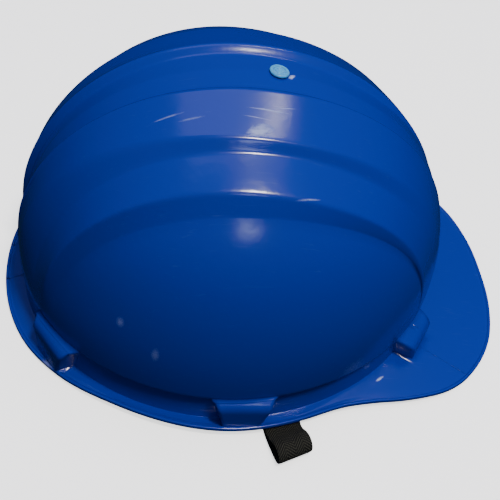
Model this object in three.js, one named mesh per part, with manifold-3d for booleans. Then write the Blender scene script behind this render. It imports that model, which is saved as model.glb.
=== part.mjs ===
// Industrial hard hat: a moulded shell on a six-point webbing cradle, with a ratchet headband and
// a chin strap. Millimetres. +X is the wearer's front, +Y the wearer's left, +Z up. The brim stands
// on z = 0, and the origin is the middle of the head opening in that plane, below the dome's centre.

import * as THREE from "three";
import { mergeVertices } from "three/addons/utils/BufferGeometryUtils.js";
import Module from "manifold-3d";

const wasm = await Module();
wasm.setup();

// ---- Driving dimensions ----

const GAP = 0.3; // space kept between pieces that touch
const DEG = Math.PI / 180;

// Shell
const SHELL_WALL = 2.2;
const DOME_FRONT = 122;
const DOME_REAR = 113;
const DOME_SIDE = 108;
const CROWN_Z = 146;
const DOME_EDGE_Z = 24.5; // lower edge of the dome at the sides and rear
const DOME_EDGE_RISE = 6.5; // how much higher that edge is at the front
const DOME_FULLNESS = 2 / 2.2; // 1 is an ellipsoid, less is a fuller shoulder
const EDGE_UNDERCUT = 2.5; // the wall stands this far inside the dome's lower edge
const RIM_HEIGHT = 3;
const RIM_WIDTH = 3.4;
const BRIM_ARCH = 3.8; // how high the brim's sides arch over the resting plane
const BRIM_ROOT_SIDE_Z = 5.4;
const BRIM_ROOT_FRONT_Z = 12;

// Brim outline: polar angle from the front in degrees, and radius
const BRIM_OUTLINE = [
  [0, 164.5], [10, 165], [20, 163.8], [30, 157.5], [36, 150.5], [44, 136.5], [51, 125],
  [59, 117.2], [69, 114.6], [90, 114.2], [120, 113.8], [138, 118], [155, 121.5], [180, 122],
];

// Ridges and terraces run front to back. Each line has its widest half width and the x of it, how
// fast it closes in towards the rear and the front, and how far it stands off the plain dome.
const BAND = { x: 5, rear: 0.0004, front: 0.0006 };
const RIDGE = { x: 18, rear: 0.00113, front: 0.00107 };
const STEP = { x: 20, rear: 0.00025, front: 0.00055 };
const TERRACE = { x: 20, rear: 0.00059, front: 0.00108 };
const PANEL = { x: 0, rear: 0.00109, front: 0.00146 };
const LINES = [
  { ...BAND, half: 0, lift: -2.2 },
  { ...BAND, half: 9.5, lift: -2.2 },
  { ...BAND, half: 13.8, lift: -2.1 },
  { ...BAND, half: 17.8, lift: 1.5 },
  { ...RIDGE, half: 31, lift: 0.9 },
  { ...RIDGE, half: 43.6, lift: 1.5 },
  { ...STEP, half: 48.6, lift: -1.2 },
  { ...STEP, half: 56, lift: -0.4 },
  { ...TERRACE, half: 65.4, lift: 1.9 },
  { ...PANEL, half: 73.5, lift: -1.2 },
];
const PANEL_ROWS = 3;
const DOME_COLUMNS = 20;

// Plug in the moulding gate at the crown
const PLUG_X = 17;
const PLUG_HOLE_R = 3.8;

// Suspension pockets: plan place on the dome's edge, and the way each faces
const DIAGONAL = 33.54;
const POCKETS = [
  { name: "front_left", x: 102, y: 59.4, turn: DIAGONAL, face: 8 },
  { name: "front_right", x: 102, y: -59.4, turn: -DIAGONAL, face: 8 },
  { name: "side_left", x: 6, y: 107.9, turn: 90, face: 4.5 },
  { name: "side_right", x: 6, y: -107.9, turn: -90, face: 4.5 },
  { name: "rear_left", x: -88.7, y: 67, turn: 180 - DIAGONAL, face: 6 },
  { name: "rear_right", x: -88.7, y: -67, turn: 180 + DIAGONAL, face: 6 },
];
const POCKET_WALL = 2.4;
const TAB_THICK = 2.6;
const TAB_BAR_X = -14.5; // the webbing bar, inwards from the dome's edge
const TAB_BAR_Z = 39.5;
const TAB_BAR_R = 1.5;
const PRONG_Z = 31.2;

// Webbing
const WEB_THICK = 1.2;
const CROWN_WEB = 18;
const CHIN_WEB = 20;
const CROWN_STRAP_Z = [104, 106, 108];
const CROWN_SHAPE = 2.6; // 2 is an elliptical arch, more is a flatter top

// Headband and ratchet, about the upright axis of the nape arc
const NAPE_X = -18;
const BAND_R = 66;
const BAND_THICK = 1.8;
const BAND_LOW = 14;
const BAND_HIGH = 40;
const BAND_END = 42; // degrees from the rear where the headband ends
const BAND_SIDE = [[0, 74], [28, 76], [58, 67], [82, 47], [97, 22]];
const BAND_FRONT_X = 102;
const ARM_THICK = 1.5;
const ARM_HALF_HEIGHT = 9;
const ARM_TIP = 21; // degrees past the middle
const ARM_END = 64; // degrees round to the headband
const RATCHET_Z = 18;
const RIGHT_ARM_R = 67.95;
const LEFT_ARM_R = 69.85;
const PINION_R = 5;
const PINION_TEETH = 10;
const TOOTH_REACH = 0.8; // from the pitch line to a tooth's tip
const TOOTH_THICK = 1;
const HOUSING_HALF_ANGLE = 16;
const HOUSING_OUT_R = 73.4;
const HOUSING_HALF_HEIGHT = 15;
const KNOB_R = 14;
const KNOB_DEPTH = 9;

// Chin strap hooks
const HOOKS = [
  { name: "right", x: 29.2, y: -104.9, turn: -78 },
  { name: "left", x: 29.2, y: 104.9, turn: 78 },
];
const HOOK_BAR_X = -10; // inwards from the dome's edge
const HOOK_BAR_Z = 6.2;
const HOOK_BAR_R = 1.2;
const SLIDER_X = 24;
const SLIDER_Y = 30;

// ---- Materials ----

function plastic(color, roughness) {
  return new THREE.MeshStandardMaterial({ color, roughness, metalness: 0 });
}

const shellBlue = plastic(0x0a46b4, 0.25);
const plugBlue = plastic(0x58b8e6, 0.3);
const cradleWhite = plastic(0xd8dad6, 0.5);
const bandBlack = plastic(0x1c1d1f, 0.55);
const webbingGrey = plastic(0x2b2c2e, 0.9);
const chinBlack = plastic(0x17181a, 0.9);
const foamBlack = plastic(0x202122, 0.95);
const steel = new THREE.MeshStandardMaterial({ color: 0xb9bcc0, roughness: 0.35, metalness: 1 });

// ---- Solids ----

function toSolid(geometry) {
  const bare = geometry.clone();
  bare.deleteAttribute("normal");
  bare.deleteAttribute("uv");
  const merged = mergeVertices(bare, 1e-4);
  const numProp = 3;
  const vertProperties = new Float32Array(merged.attributes.position.array);
  const triVerts = new Uint32Array(merged.index.array);
  return new wasm.Manifold(new wasm.Mesh({ numProp, vertProperties, triVerts }));
}

function toGeometry(solid) {
  const { vertProperties, triVerts } = solid.getMesh();
  const geometry = new THREE.BufferGeometry();
  geometry.setAttribute("position", new THREE.BufferAttribute(new Float32Array(vertProperties), 3));
  geometry.setIndex(new THREE.BufferAttribute(new Uint32Array(triVerts), 1));
  geometry.computeVertexNormals();
  return geometry;
}

function join(first, ...others) {
  return toGeometry(others.reduce((solid, other) => solid.add(toSolid(other)), toSolid(first)));
}

function cut(first, ...others) {
  return toGeometry(others.reduce((solid, other) => solid.subtract(toSolid(other)), toSolid(first)));
}

// A box between two opposite corners
function block(low, high) {
  const size = high.map((value, axis) => value - low[axis]);
  const box = new THREE.BoxGeometry(...size);
  return box.translate(...high.map((value, axis) => (value + low[axis]) / 2));
}

// A round bar along X
function rodX(radius, fromX, toX, sides) {
  const rod = new THREE.CylinderGeometry(radius, radius, Math.abs(toX - fromX), sides);
  return rod.rotateZ(90 * DEG).translate((fromX + toX) / 2, 0, 0);
}

// Six times the volume, negative when the faces point inwards
function signedVolume(geometry) {
  const place = geometry.attributes.position;
  const index = geometry.index.array;
  const corners = [new THREE.Vector3(), new THREE.Vector3(), new THREE.Vector3()];
  let sum = 0;
  for (let i = 0; i < index.length; i += 3) {
    corners.forEach((corner, k) => corner.fromBufferAttribute(place, index[i + k]));
    sum += corners[0].dot(corners[1].cross(corners[2]));
  }
  return sum;
}

// Moves every point of a geometry, and keeps its faces pointing out
function reshape(geometry, move) {
  const place = geometry.attributes.position;
  for (let i = 0; i < place.count; i += 1) {
    const moved = move(place.getX(i), place.getY(i), place.getZ(i));
    place.setXYZ(i, moved.x, moved.y, moved.z);
  }
  const index = geometry.index.array;
  if (signedVolume(geometry) < 0) index.reverse();
  geometry.computeVertexNormals();
  return geometry;
}

// A flat strip laid along a curve. way(u) gives its middle, its width direction and its face.
function strip(steps, width, thick, way) {
  const box = new THREE.BoxGeometry(1, width, thick, steps, 1, 1);
  return reshape(box, (x, y, z) => {
    const { middle, wide, face } = way(x + 0.5);
    return middle.clone().addScaledVector(wide, y).addScaledVector(face, z);
  });
}

// A part of an upright ring about the nape axis, from one angle to another off the rear
function napeArc(innerR, outerR, low, high, fromDeg, toDeg, steps) {
  const box = new THREE.BoxGeometry(outerR - innerR, 1, high - low, 1, steps, 1);
  return reshape(box, (x, y, z) => {
    const radius = x + (innerR + outerR) / 2;
    const angle = (fromDeg + (y + 0.5) * (toDeg - fromDeg)) * DEG;
    const side = Math.sin(angle) * radius;
    // The ring's outside faces the rear, so a rising angle runs from right to left
    return new THREE.Vector3(NAPE_X - Math.cos(angle) * radius, side, z + (low + high) / 2);
  });
}

function smooth(low, high, value) {
  return THREE.MathUtils.smoothstep(value, low, high);
}

// ---- Shell ----

const brimRadius = new THREE.CubicInterpolant(
  BRIM_OUTLINE.map(([angle]) => angle),
  BRIM_OUTLINE.map(([, radius]) => radius),
  1,
);
brimRadius.DefaultSettings_ = { endingStart: THREE.ZeroSlopeEnding, endingEnd: THREE.ZeroSlopeEnding };

function domeEdgeZ(towardsFront) {
  return DOME_EDGE_Z + DOME_EDGE_RISE * Math.max(0, towardsFront) ** 1.5;
}

// A point of the dome from a direction on the unit half sphere
function domePoint(way, inset, edgeLift) {
  const edge = domeEdgeZ(way.x) + edgeLift;
  const length = way.x > 0 ? DOME_FRONT : DOME_REAR;
  const rise = Math.max(0, way.z) ** DOME_FULLNESS;
  return new THREE.Vector3(
    (length - inset) * way.x,
    (DOME_SIDE - inset) * way.y,
    edge + (CROWN_Z - inset - edge) * rise,
  );
}

// Where a front-to-back line meets a column, as a direction; across is -1 at the rear, 1 in front
function lineWay(line, across) {
  const sweep = across * 90 * DEG;
  let half = line.half / DOME_SIDE;
  let reach = 0;
  for (let pass = 0; pass < 4; pass += 1) {
    reach = Math.sqrt(1 - half * half) * Math.sin(sweep);
    const x = reach * (reach > 0 ? DOME_FRONT : DOME_REAR);
    const bend = x < line.x ? line.rear : line.front;
    const scale = line.half > 20 ? 1 : line.half / 20;
    half = (line.half - scale * bend * (x - line.x) ** 2) / DOME_SIDE;
  }
  return new THREE.Vector3(reach, half, Math.sqrt(Math.max(0, 1 - reach ** 2 - half ** 2)));
}

// Directions below the last line fan out to the dome's edge
function panelWay(part, across) {
  const top = lineWay(LINES.at(-1), across);
  const corner = lineWay(LINES.at(-1), Math.sign(across) || 1);
  const span = Math.atan2(corner.x, corner.y) * 0.95;
  const turn = span * Math.abs(across);
  const foot = new THREE.Vector3(Math.sin(turn), Math.cos(turn), 0);
  return top.lerp(foot, part).normalize();
}

function liftAt(way, lift) {
  const x = way.x * (way.x > 0 ? DOME_FRONT : DOME_REAR);
  const fade = 1 - 0.75 * smooth(55, 110, x);
  return lift * fade * smooth(0, 0.3, way.z);
}

// Rows run from the left edge over the crown to the right edge
const HALF_ROWS = LINES.length - 1 + PANEL_ROWS;

function domeGrid(row, column, inset, edgeLift) {
  const step = row - HALF_ROWS;
  const across = (2 * column) / DOME_COLUMNS - 1;
  const place = Math.abs(step);
  const beyond = place - (LINES.length - 1);
  const way = beyond > 0 ? panelWay(beyond / PANEL_ROWS, across) : lineWay(LINES[place], across);
  const lift = beyond > 0 ? LINES.at(-1).lift * (1 - beyond / PANEL_ROWS) : LINES[place].lift;
  way.y *= Math.sign(step) || 1;
  return domePoint(way, inset - liftAt(way, lift), edgeLift);
}

// The wall, the brim and the rim, as rings from the dome's edge out, round and back in
function skirtPoint(edge, ring) {
  const radius = Math.hypot(edge.x, edge.y);
  const angle = Math.abs(Math.atan2(edge.y, edge.x)) / DEG;
  const front = Math.max(0, Math.cos(angle * DEG));
  const rim = brimRadius.evaluate(angle)[0];
  const bottom = BRIM_ARCH * smooth(14, 62, angle) * smooth(24, 75, 180 - angle);
  const top = bottom + RIM_HEIGHT - 0.6;
  const root = BRIM_ROOT_SIDE_Z + (BRIM_ROOT_FRONT_Z - BRIM_ROOT_SIDE_Z) * front ** 1.5;
  const middle = (radius + rim) / 2;
  const slope = (root + top) / 2;
  const wall = EDGE_UNDERCUT;
  const rings = [
    [radius, edge.z],
    [radius - wall, edge.z - 1.2],
    [radius - wall + 1, root + 2.4],
    [radius + 1, root],
    [middle, slope],
    [rim - RIM_WIDTH, top],
    [rim - RIM_WIDTH + 0.8, top + 0.6],
    [rim - 0.5, top + 0.6],
    [rim, top + 0.1],
    [rim, bottom],
    [rim - RIM_WIDTH, bottom],
    [middle, slope - SHELL_WALL],
    [radius - wall - 0.6, root - SHELL_WALL],
    [radius - wall - SHELL_WALL + 1, root + 1],
    [radius - wall - SHELL_WALL, edge.z + 0.3],
  ];
  const [out, z] = rings[ring];
  return new THREE.Vector3((edge.x / radius) * out, (edge.y / radius) * out, z);
}
const SKIRT_RINGS = 15;

// A box whose top is the dome's outside, whose bottom is its inside and whose sides are the skirt
function shellBody() {
  const box = new THREE.BoxGeometry(2, 2, 2, DOME_COLUMNS, 2 * HALF_ROWS, SKIRT_RINGS);
  return reshape(box, (x, y, z) => {
    const column = Math.round(((x + 1) / 2) * DOME_COLUMNS);
    const row = Math.round((y + 1) * HALF_ROWS);
    const ring = Math.round(((1 - z) / 2) * SKIRT_RINGS);
    if (ring === SKIRT_RINGS) return domeGrid(row, column, SHELL_WALL, 2);
    const outside = domeGrid(row, column, 0, 0);
    return ring === 0 ? outside : skirtPoint(outside, ring);
  });
}

// A trapezium in the YZ plane, given thickness along X
function wedge(lowHalf, lowZ, highHalf, highZ, fromX, toX, bevel) {
  const outline = new THREE.Shape();
  outline.moveTo(-lowHalf, lowZ);
  outline.lineTo(lowHalf, lowZ);
  outline.lineTo(highHalf, highZ);
  outline.lineTo(-highHalf, highZ);
  outline.closePath();
  const prism = new THREE.ExtrudeGeometry(outline, {
    depth: toX - fromX - bevel,
    bevelEnabled: bevel > 0,
    bevelSize: bevel,
    bevelThickness: bevel,
    bevelOffset: -bevel,
    bevelSegments: 2,
  });
  // The outline's axes become Y and Z, and the extrusion runs along X
  const turned = new THREE.Matrix4().makeBasis(
    new THREE.Vector3(0, 1, 0), new THREE.Vector3(0, 0, 1), new THREE.Vector3(1, 0, 0),
  );
  return prism.applyMatrix4(turned).translate(fromX, 0, 0);
}

function placed(geometry, pocket) {
  return geometry.clone().rotateZ(pocket.turn * DEG).translate(pocket.x, pocket.y, 0);
}

const pocketOutside = (pocket) => wedge(11.5, 3.6, 19, 24.6, -4.4, pocket.face, 1.8);
const pocketInside = (pocket) => wedge(9.8, -2, 13, 22.2, -16, pocket.face - POCKET_WALL, 0);
const pocketKeeper = block([-7, -14.5, 12.6], [-4.3, 14.5, 20.4]);

// The bridge on the inner wall that a chin strap hook slides up into
const hookBridge = join(
  block([-9.8, -8.7, 13.2], [-3.8, -6.4, 18.8]),
  block([-9.8, 6.4, 13.2], [-3.8, 8.7, 18.8]),
  block([-9.8, -8.7, 13.2], [-7.8, 8.7, 18.8]),
);

// The plug's hole is square to the crown there
const plugWay = new THREE.Vector3(PLUG_X / DOME_FRONT, 0, Math.sqrt(1 - (PLUG_X / DOME_FRONT) ** 2));
const PLUG_SEAT = domePoint(plugWay, -LINES[0].lift, 0);
const PLUG_TILT = 7 * DEG;

function onPlugAxis(geometry) {
  return geometry.rotateX(90 * DEG).rotateY(PLUG_TILT).translate(...PLUG_SEAT.toArray());
}

function shell() {
  let solid = toSolid(shellBody());
  for (const pocket of POCKETS) {
    solid = solid.add(toSolid(placed(pocketOutside(pocket), pocket)));
  }
  for (const pocket of POCKETS) {
    solid = solid.subtract(toSolid(placed(pocketInside(pocket), pocket)));
    solid = solid.add(toSolid(placed(pocketKeeper, pocket)));
  }
  for (const hook of HOOKS) solid = solid.add(toSolid(placed(hookBridge, hook)));
  const hole = new THREE.CylinderGeometry(PLUG_HOLE_R, PLUG_HOLE_R, 12, 16);
  return toGeometry(solid.subtract(toSolid(onPlugAxis(hole))));
}

// ---- Crown plug ----

function crownPlug() {
  const stem = PLUG_HOLE_R - GAP;
  const outline = [
    [0, -4.4], [stem - 0.6, -4.4], [stem, -3.6], [stem, 0.4], [5, 0.4], [5, 1.1], [4.4, 1.6],
    [2.8, 1.6], [2.4, 1.2], [0, 1.2],
  ];
  const points = outline.map(([radius, height]) => new THREE.Vector2(radius, height));
  return onPlugAxis(new THREE.LatheGeometry(points, 16));
}

// ---- Headband ----

function napePoint(radius, degrees) {
  return [NAPE_X - Math.cos(degrees * DEG) * radius, Math.sin(degrees * DEG) * radius];
}

function bandCurve() {
  const right = [];
  for (let angle = BAND_END; angle <= 82; angle += 10) right.push(napePoint(BAND_R, -angle));
  for (const [x, half] of BAND_SIDE) right.push([x, -half]);
  const left = right.map(([x, y]) => [x, -y]).reverse();
  const points = [...right, [BAND_FRONT_X, 0], ...left];
  return new THREE.CatmullRomCurve3(points.map(([x, y]) => new THREE.Vector3(x, y, 0)));
}
const band = bandCurve();

// A strip that stands on edge along the headband, offset towards the shell
function bandStrip(from, to, steps, low, high, offset, thick) {
  return strip(steps, thick, high - low, (u) => {
    const at = from + (to - from) * u;
    const along = band.getTangentAt(at);
    const outward = new THREE.Vector3(along.y, -along.x, 0).normalize();
    const middle = band.getPointAt(at).addScaledVector(outward, offset);
    middle.z = (low + high) / 2;
    return { middle, wide: outward.negate(), face: new THREE.Vector3(0, 0, 1) };
  });
}

// How far in from the dome's edge a pocket's axis crosses the headband
function reachOf(pocket) {
  const inward = new THREE.Vector3(-Math.cos(pocket.turn * DEG), -Math.sin(pocket.turn * DEG), 0);
  const origin = new THREE.Vector3(pocket.x, pocket.y, 0);
  let best = { miss: Infinity, reach: 0 };
  for (let i = 0; i <= 800; i += 1) {
    const offset = band.getPointAt(i / 800).sub(origin);
    const reach = offset.dot(inward);
    const miss = offset.addScaledVector(inward, -reach).length();
    if (reach < 60 && miss < best.miss) best = { miss, reach };
  }
  return best.reach;
}

// A loop on the headband's end that an arm slides through
function keeper(side, armR) {
  const near = BAND_R + BAND_THICK / 2;
  const low = RATCHET_Z - ARM_HALF_HEIGHT;
  const high = RATCHET_Z + ARM_HALF_HEIGHT;
  const out = armR + ARM_THICK / 2 + GAP;
  const angles = side > 0 ? [44, 48] : [-48, -44];
  const wider = side > 0 ? [43, 49] : [-49, -43];
  const whole = napeArc(near - 1, out + 1.4, low - 2, high + 1.5, ...angles, 3);
  const hole = napeArc(near + 0.2, out, low - GAP, high + GAP, ...wider, 3);
  return cut(whole, hole);
}

function headband() {
  let solid = toSolid(bandStrip(0, 1, 48, BAND_LOW, BAND_HIGH, 0, BAND_THICK));
  for (const [side, radius] of [[1, LEFT_ARM_R], [-1, RIGHT_ARM_R]]) {
    solid = solid.add(toSolid(keeper(side, radius)));
  }
  for (const pocket of POCKETS) {
    const reach = reachOf(pocket);
    const slot = block([-reach - 6, -5.3, PRONG_Z - 1.6], [-reach + 6, 5.3, PRONG_Z + 1.6]);
    solid = solid.subtract(toSolid(placed(slot, pocket)));
  }
  return toGeometry(solid);
}

function sweatband() {
  return bandStrip(0.24, 0.76, 30, BAND_LOW - 2, BAND_HIGH + 1, -BAND_THICK / 2 - GAP - 1.5, 3);
}

// ---- Hanger tabs ----

function hangerTab(pocket) {
  const reach = reachOf(pocket);
  const face = pocket.face - POCKET_WALL - GAP - 0.1;
  const bar = new THREE.CylinderGeometry(TAB_BAR_R, TAB_BAR_R, 22, 10);
  return join(
    block([face - TAB_THICK, -8.8, 6], [face, 8.8, 21.6]),
    block([-11, -8, 6], [face - 1, 8, 9.6]),
    block([-11, -8, 6], [-8.8, 8, 35]),
    block([-11, -11.8, 32.6], [-8.8, 11.8, 41.5]),
    block([-16.5, 9.5, 36], [-9, 11.8, 41.5]),
    block([-16.5, -11.8, 36], [-9, -9.5, 41.5]),
    block([-reach + 0.2, -5, PRONG_Z - 1.3], [-10, 5, PRONG_Z + 1.3]),
    bar.translate(TAB_BAR_X, 0, TAB_BAR_Z),
  );
}

// ---- Crown webbing ----

// An arch of webbing between two tabs, sewn back on itself around both bars
function crownStrap(from, to, topZ) {
  const bars = [from, to].map((pocket) => new THREE.Vector3(
    pocket.x + TAB_BAR_X * Math.cos(pocket.turn * DEG),
    pocket.y + TAB_BAR_X * Math.sin(pocket.turn * DEG),
    0,
  ));
  const centre = bars[0].clone().add(bars[1]).multiplyScalar(0.5);
  const along = bars[1].clone().sub(centre).normalize();
  const half = bars[0].distanceTo(bars[1]) / 2;
  const wrap = TAB_BAR_R + GAP + WEB_THICK / 2;
  const points = [];
  for (const [x, z] of [[half + 0.4, 54], [half + 1.2, 48], [half + wrap - 0.2, 42.5]]) {
    points.push([x, z]);
  }
  for (let turn = 0; turn <= 180; turn += 36) {
    points.push([half + Math.cos(turn * DEG) * wrap, TAB_BAR_Z - Math.sin(turn * DEG) * wrap]);
  }
  points.push([half - wrap + 0.5, 43], [half - 1.3, 48], [half - 2, 54]);
  const over = half - 2.2;
  for (let turn = 20; turn <= 90; turn += 14) {
    const cos = Math.cos(turn * DEG) ** (2 / CROWN_SHAPE);
    const sin = Math.sin(turn * DEG) ** (2 / CROWN_SHAPE);
    points.push([over * cos, TAB_BAR_Z + (topZ - TAB_BAR_Z) * sin]);
  }
  const mirrored = points.slice(0, -1).map(([x, z]) => [-x, z]).reverse();
  const route = [...points, ...mirrored];
  const curve = new THREE.CatmullRomCurve3(route.map(([x, z]) => new THREE.Vector3(x, 0, z)));
  const wide = new THREE.Vector3(-along.y, along.x, 0);
  return strip(2 * (route.length - 1), CROWN_WEB, WEB_THICK, (u) => {
    const spot = curve.getPoint(u);
    const tangent = curve.getTangent(u);
    const middle = centre.clone().addScaledVector(along, spot.x).setZ(spot.z);
    const face = along.clone().multiplyScalar(tangent.z).setZ(-tangent.x);
    return { middle, wide, face };
  });
}

function crownPad() {
  const top = CROWN_STRAP_Z[0] - WEB_THICK / 2 - GAP;
  const outline = [
    [0, -6], [24, -6], [27, -4.8], [28, -3.4], [26, -1.9], [21, -0.9], [12, -0.2], [0, 0],
  ];
  const points = outline.map(([radius, height]) => new THREE.Vector2(radius, height));
  return new THREE.LatheGeometry(points, 24).rotateX(90 * DEG).translate(7, 0, top);
}

// ---- Ratchet ----

// A headband arm: an arc with a window whose upper or lower edge carries the rack teeth
function napeArm(radius, side) {
  const inner = radius - ARM_THICK / 2;
  const outer = radius + ARM_THICK / 2;
  const tip = -side * ARM_TIP;
  const end = side * ARM_END;
  const range = [Math.min(tip, end), Math.max(tip, end)];
  const low = RATCHET_Z - ARM_HALF_HEIGHT;
  const high = RATCHET_Z + ARM_HALF_HEIGHT;
  const plate = napeArc(inner, outer, low, high, ...range, 30);
  const clear = 6.3;
  const window = napeArc(inner - 1, outer + 1, RATCHET_Z - clear, RATCHET_Z + clear, -18.6, 18.6, 12);
  let solid = toSolid(plate).subtract(toSolid(window));
  const pitch = ((2 * Math.PI * PINION_R) / PINION_TEETH / radius / DEG);
  const rackZ = RATCHET_Z - side * (PINION_R - TOOTH_REACH);
  const backZ = RATCHET_Z - side * (clear + 0.5);
  for (let tooth = -6; tooth <= 6; tooth += 1) {
    const shape = block(
      [-outer, -TOOTH_THICK / 2, Math.min(rackZ, backZ)],
      [-inner, TOOTH_THICK / 2, Math.max(rackZ, backZ)],
    );
    solid = solid.add(toSolid(shape.rotateZ(-tooth * pitch * DEG).translate(NAPE_X, 0, 0)));
  }
  return toGeometry(solid);
}

const PINION_FROM = NAPE_X - 67.1;
const PINION_TO = NAPE_X - 70.3;
const KNOB_FROM = NAPE_X - HOUSING_OUT_R - 0.4;
const KNOB_TO = KNOB_FROM - KNOB_DEPTH;
const SHAFT_R = 2.6;
const SHAFT_END = KNOB_TO + 2.4;
const SCREW_R = 1;

function ratchetPinion() {
  const outline = new THREE.Shape();
  const root = PINION_R - 1;
  const tip = PINION_R + TOOTH_REACH;
  const pitch = 360 / PINION_TEETH;
  for (let tooth = 0; tooth < PINION_TEETH; tooth += 1) {
    const middle = pitch * tooth + pitch / 2;
    for (const [radius, offset] of [[root, -10], [tip, -4.5], [tip, 4.5], [root, 10]]) {
      const angle = (middle + offset) * DEG;
      if (tooth === 0 && offset === -10) outline.moveTo(radius * Math.cos(angle), radius * Math.sin(angle));
      else outline.lineTo(radius * Math.cos(angle), radius * Math.sin(angle));
    }
  }
  outline.closePath();
  const gear = new THREE.ExtrudeGeometry(outline, { depth: PINION_FROM - PINION_TO, bevelEnabled: false });
  gear.rotateY(-90 * DEG).translate(PINION_FROM, 0, 0);
  const whole = join(gear, rodX(SHAFT_R, PINION_TO + 1, SHAFT_END, 6));
  const bored = cut(whole, rodX(SCREW_R + GAP, PINION_FROM - 2, SHAFT_END - 1, 8));
  return bored.translate(0, 0, RATCHET_Z);
}

function ratchetHousing() {
  const inner = BAND_R + BAND_THICK / 2;
  const channelOut = LEFT_ARM_R + ARM_THICK / 2 + GAP;
  const low = RATCHET_Z - HOUSING_HALF_HEIGHT;
  const high = RATCHET_Z + HOUSING_HALF_HEIGHT;
  const side = HOUSING_HALF_ANGLE;
  const body = napeArc(inner, HOUSING_OUT_R, low, high, -side, side, 8);
  const channelHalf = ARM_HALF_HEIGHT + GAP;
  const channel = napeArc(
    inner - 1, channelOut, RATCHET_Z - channelHalf, RATCHET_Z + channelHalf, -side - 2, side + 2, 8,
  );
  const bore = rodX(SHAFT_R + 0.4, NAPE_X - channelOut + 2, NAPE_X - HOUSING_OUT_R - 3, 16);
  return cut(body, channel, bore.translate(0, 0, RATCHET_Z));
}

function napePlate() {
  const outer = BAND_R + BAND_THICK / 2 - GAP;
  const low = RATCHET_Z - HOUSING_HALF_HEIGHT;
  const high = RATCHET_Z + HOUSING_HALF_HEIGHT;
  return napeArc(outer - 2.4, outer, low, high, -HOUSING_HALF_ANGLE, HOUSING_HALF_ANGLE, 8);
}

function napePad() {
  const outer = BAND_R + BAND_THICK / 2 - 2 * GAP - 2.4;
  return napeArc(outer - 3, outer, RATCHET_Z - 13, RATCHET_Z + 13, -21, 21, 10);
}

function detentRing() {
  const outline = [[7.6, 0], [10.2, 0], [10.2, 1.2], [7.6, 1.2], [7.6, 0]];
  const points = outline.map(([radius, height]) => new THREE.Vector2(radius, height));
  const ring = new THREE.LatheGeometry(points, 24).rotateZ(90 * DEG);
  return ring.translate(KNOB_FROM - 0.1, 0, RATCHET_Z);
}

function ratchetKnob() {
  const outline = new THREE.Shape();
  for (let i = 0; i < 48; i += 1) {
    const angle = i * 7.5 * DEG;
    const radius = KNOB_R - 0.6 + 0.6 * Math.cos(12 * angle);
    if (i === 0) outline.moveTo(radius, 0);
    else outline.lineTo(radius * Math.cos(angle), radius * Math.sin(angle));
  }
  outline.closePath();
  const bevel = 1;
  const body = new THREE.ExtrudeGeometry(outline, {
    depth: KNOB_DEPTH - 2 * bevel,
    bevelSize: bevel,
    bevelThickness: bevel,
    bevelOffset: -bevel,
    bevelSegments: 1,
  });
  body.rotateY(-90 * DEG).translate(KNOB_FROM - bevel, 0, 0);
  const recess = rodX(11, KNOB_FROM + 1, KNOB_FROM - 2, 24);
  const drive = rodX(SHAFT_R + GAP, KNOB_FROM + 1, SHAFT_END - GAP, 6);
  const screwHole = rodX(SCREW_R + GAP, KNOB_FROM, KNOB_TO - 2, 12);
  const headSeat = rodX(3, KNOB_TO + 1.2, KNOB_TO - 2, 16);
  return cut(body, recess, drive, screwHole, headSeat).translate(0, 0, RATCHET_Z);
}

function knobScrew() {
  const head = rodX(2.6, KNOB_TO + 0.9, KNOB_TO - 0.5, 16);
  const shank = rodX(SCREW_R, KNOB_TO + 0.5, PINION_FROM - 3, 10);
  return join(head, shank).translate(0, 0, RATCHET_Z);
}

// ---- Chin strap ----

function chinHook() {
  const head = block([-11, -12.4, 4.8], [-9, 12.4, 11.5]);
  const window = block([-12, -10.6, 2], [-8, 10.6, 9.9]);
  const bar = new THREE.CylinderGeometry(HOOK_BAR_R, HOOK_BAR_R, 24, 10);
  return join(
    cut(head, window),
    block([-7.4, -6, 10], [-5.4, 6, 22]),
    block([-11, -6, 10], [-5.4, 6, 12.2]),
    bar.translate(HOOK_BAR_X, 0, HOOK_BAR_Z),
  );
}

// The strap's middle line: round the right hook's bar, out under the brim in a loop, back under it
// and across the resting plane to the left hook's bar
const CHIN_ROUTE = [
  [26.8, -93.5, 2.9], [26.7, -93.1, 4.6], [26.7, -93.2, 6.6], [27, -94.4, 8.1], [27.3, -95.9, 8.1],
  [27.5, -97.1, 6.7], [27.6, -98, 4.8], [27.7, -100.6, 3], [27.8, -105, 2.5], [28, -110.5, 2.6],
  [28.7, -115, 4.2], [29.8, -119, 7.1], [30.9, -123, 8.8], [31.9, -126.6, 7.9], [32.3, -128.4, 5.2],
  [32, -127.4, 2.2], [31, -124, 1.05], [29.4, -118.6, 0.95], [27.8, -112.5, 0.95],
  [26.6, -105, 0.95], [25.3, -95, 0.95], [24.3, -80, 1.1], [24, -62, 1.7], [24, -42, 2.1],
  [24, -10, 2.1], [24, 25, 2.1], [24, 50, 2.1], [24, 68, 1.5], [25, 83, 1.3], [26.2, 91, 1.9],
  [27.1, 95.5, 3.2],
  [27.5, 97.3, 5.6], [27.3, 96.8, 7.6], [27, 95.2, 8.4], [26.8, 93.6, 7.4], [26.7, 93, 5.6],
  [26.7, 92.9, 4.4],
];

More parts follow.
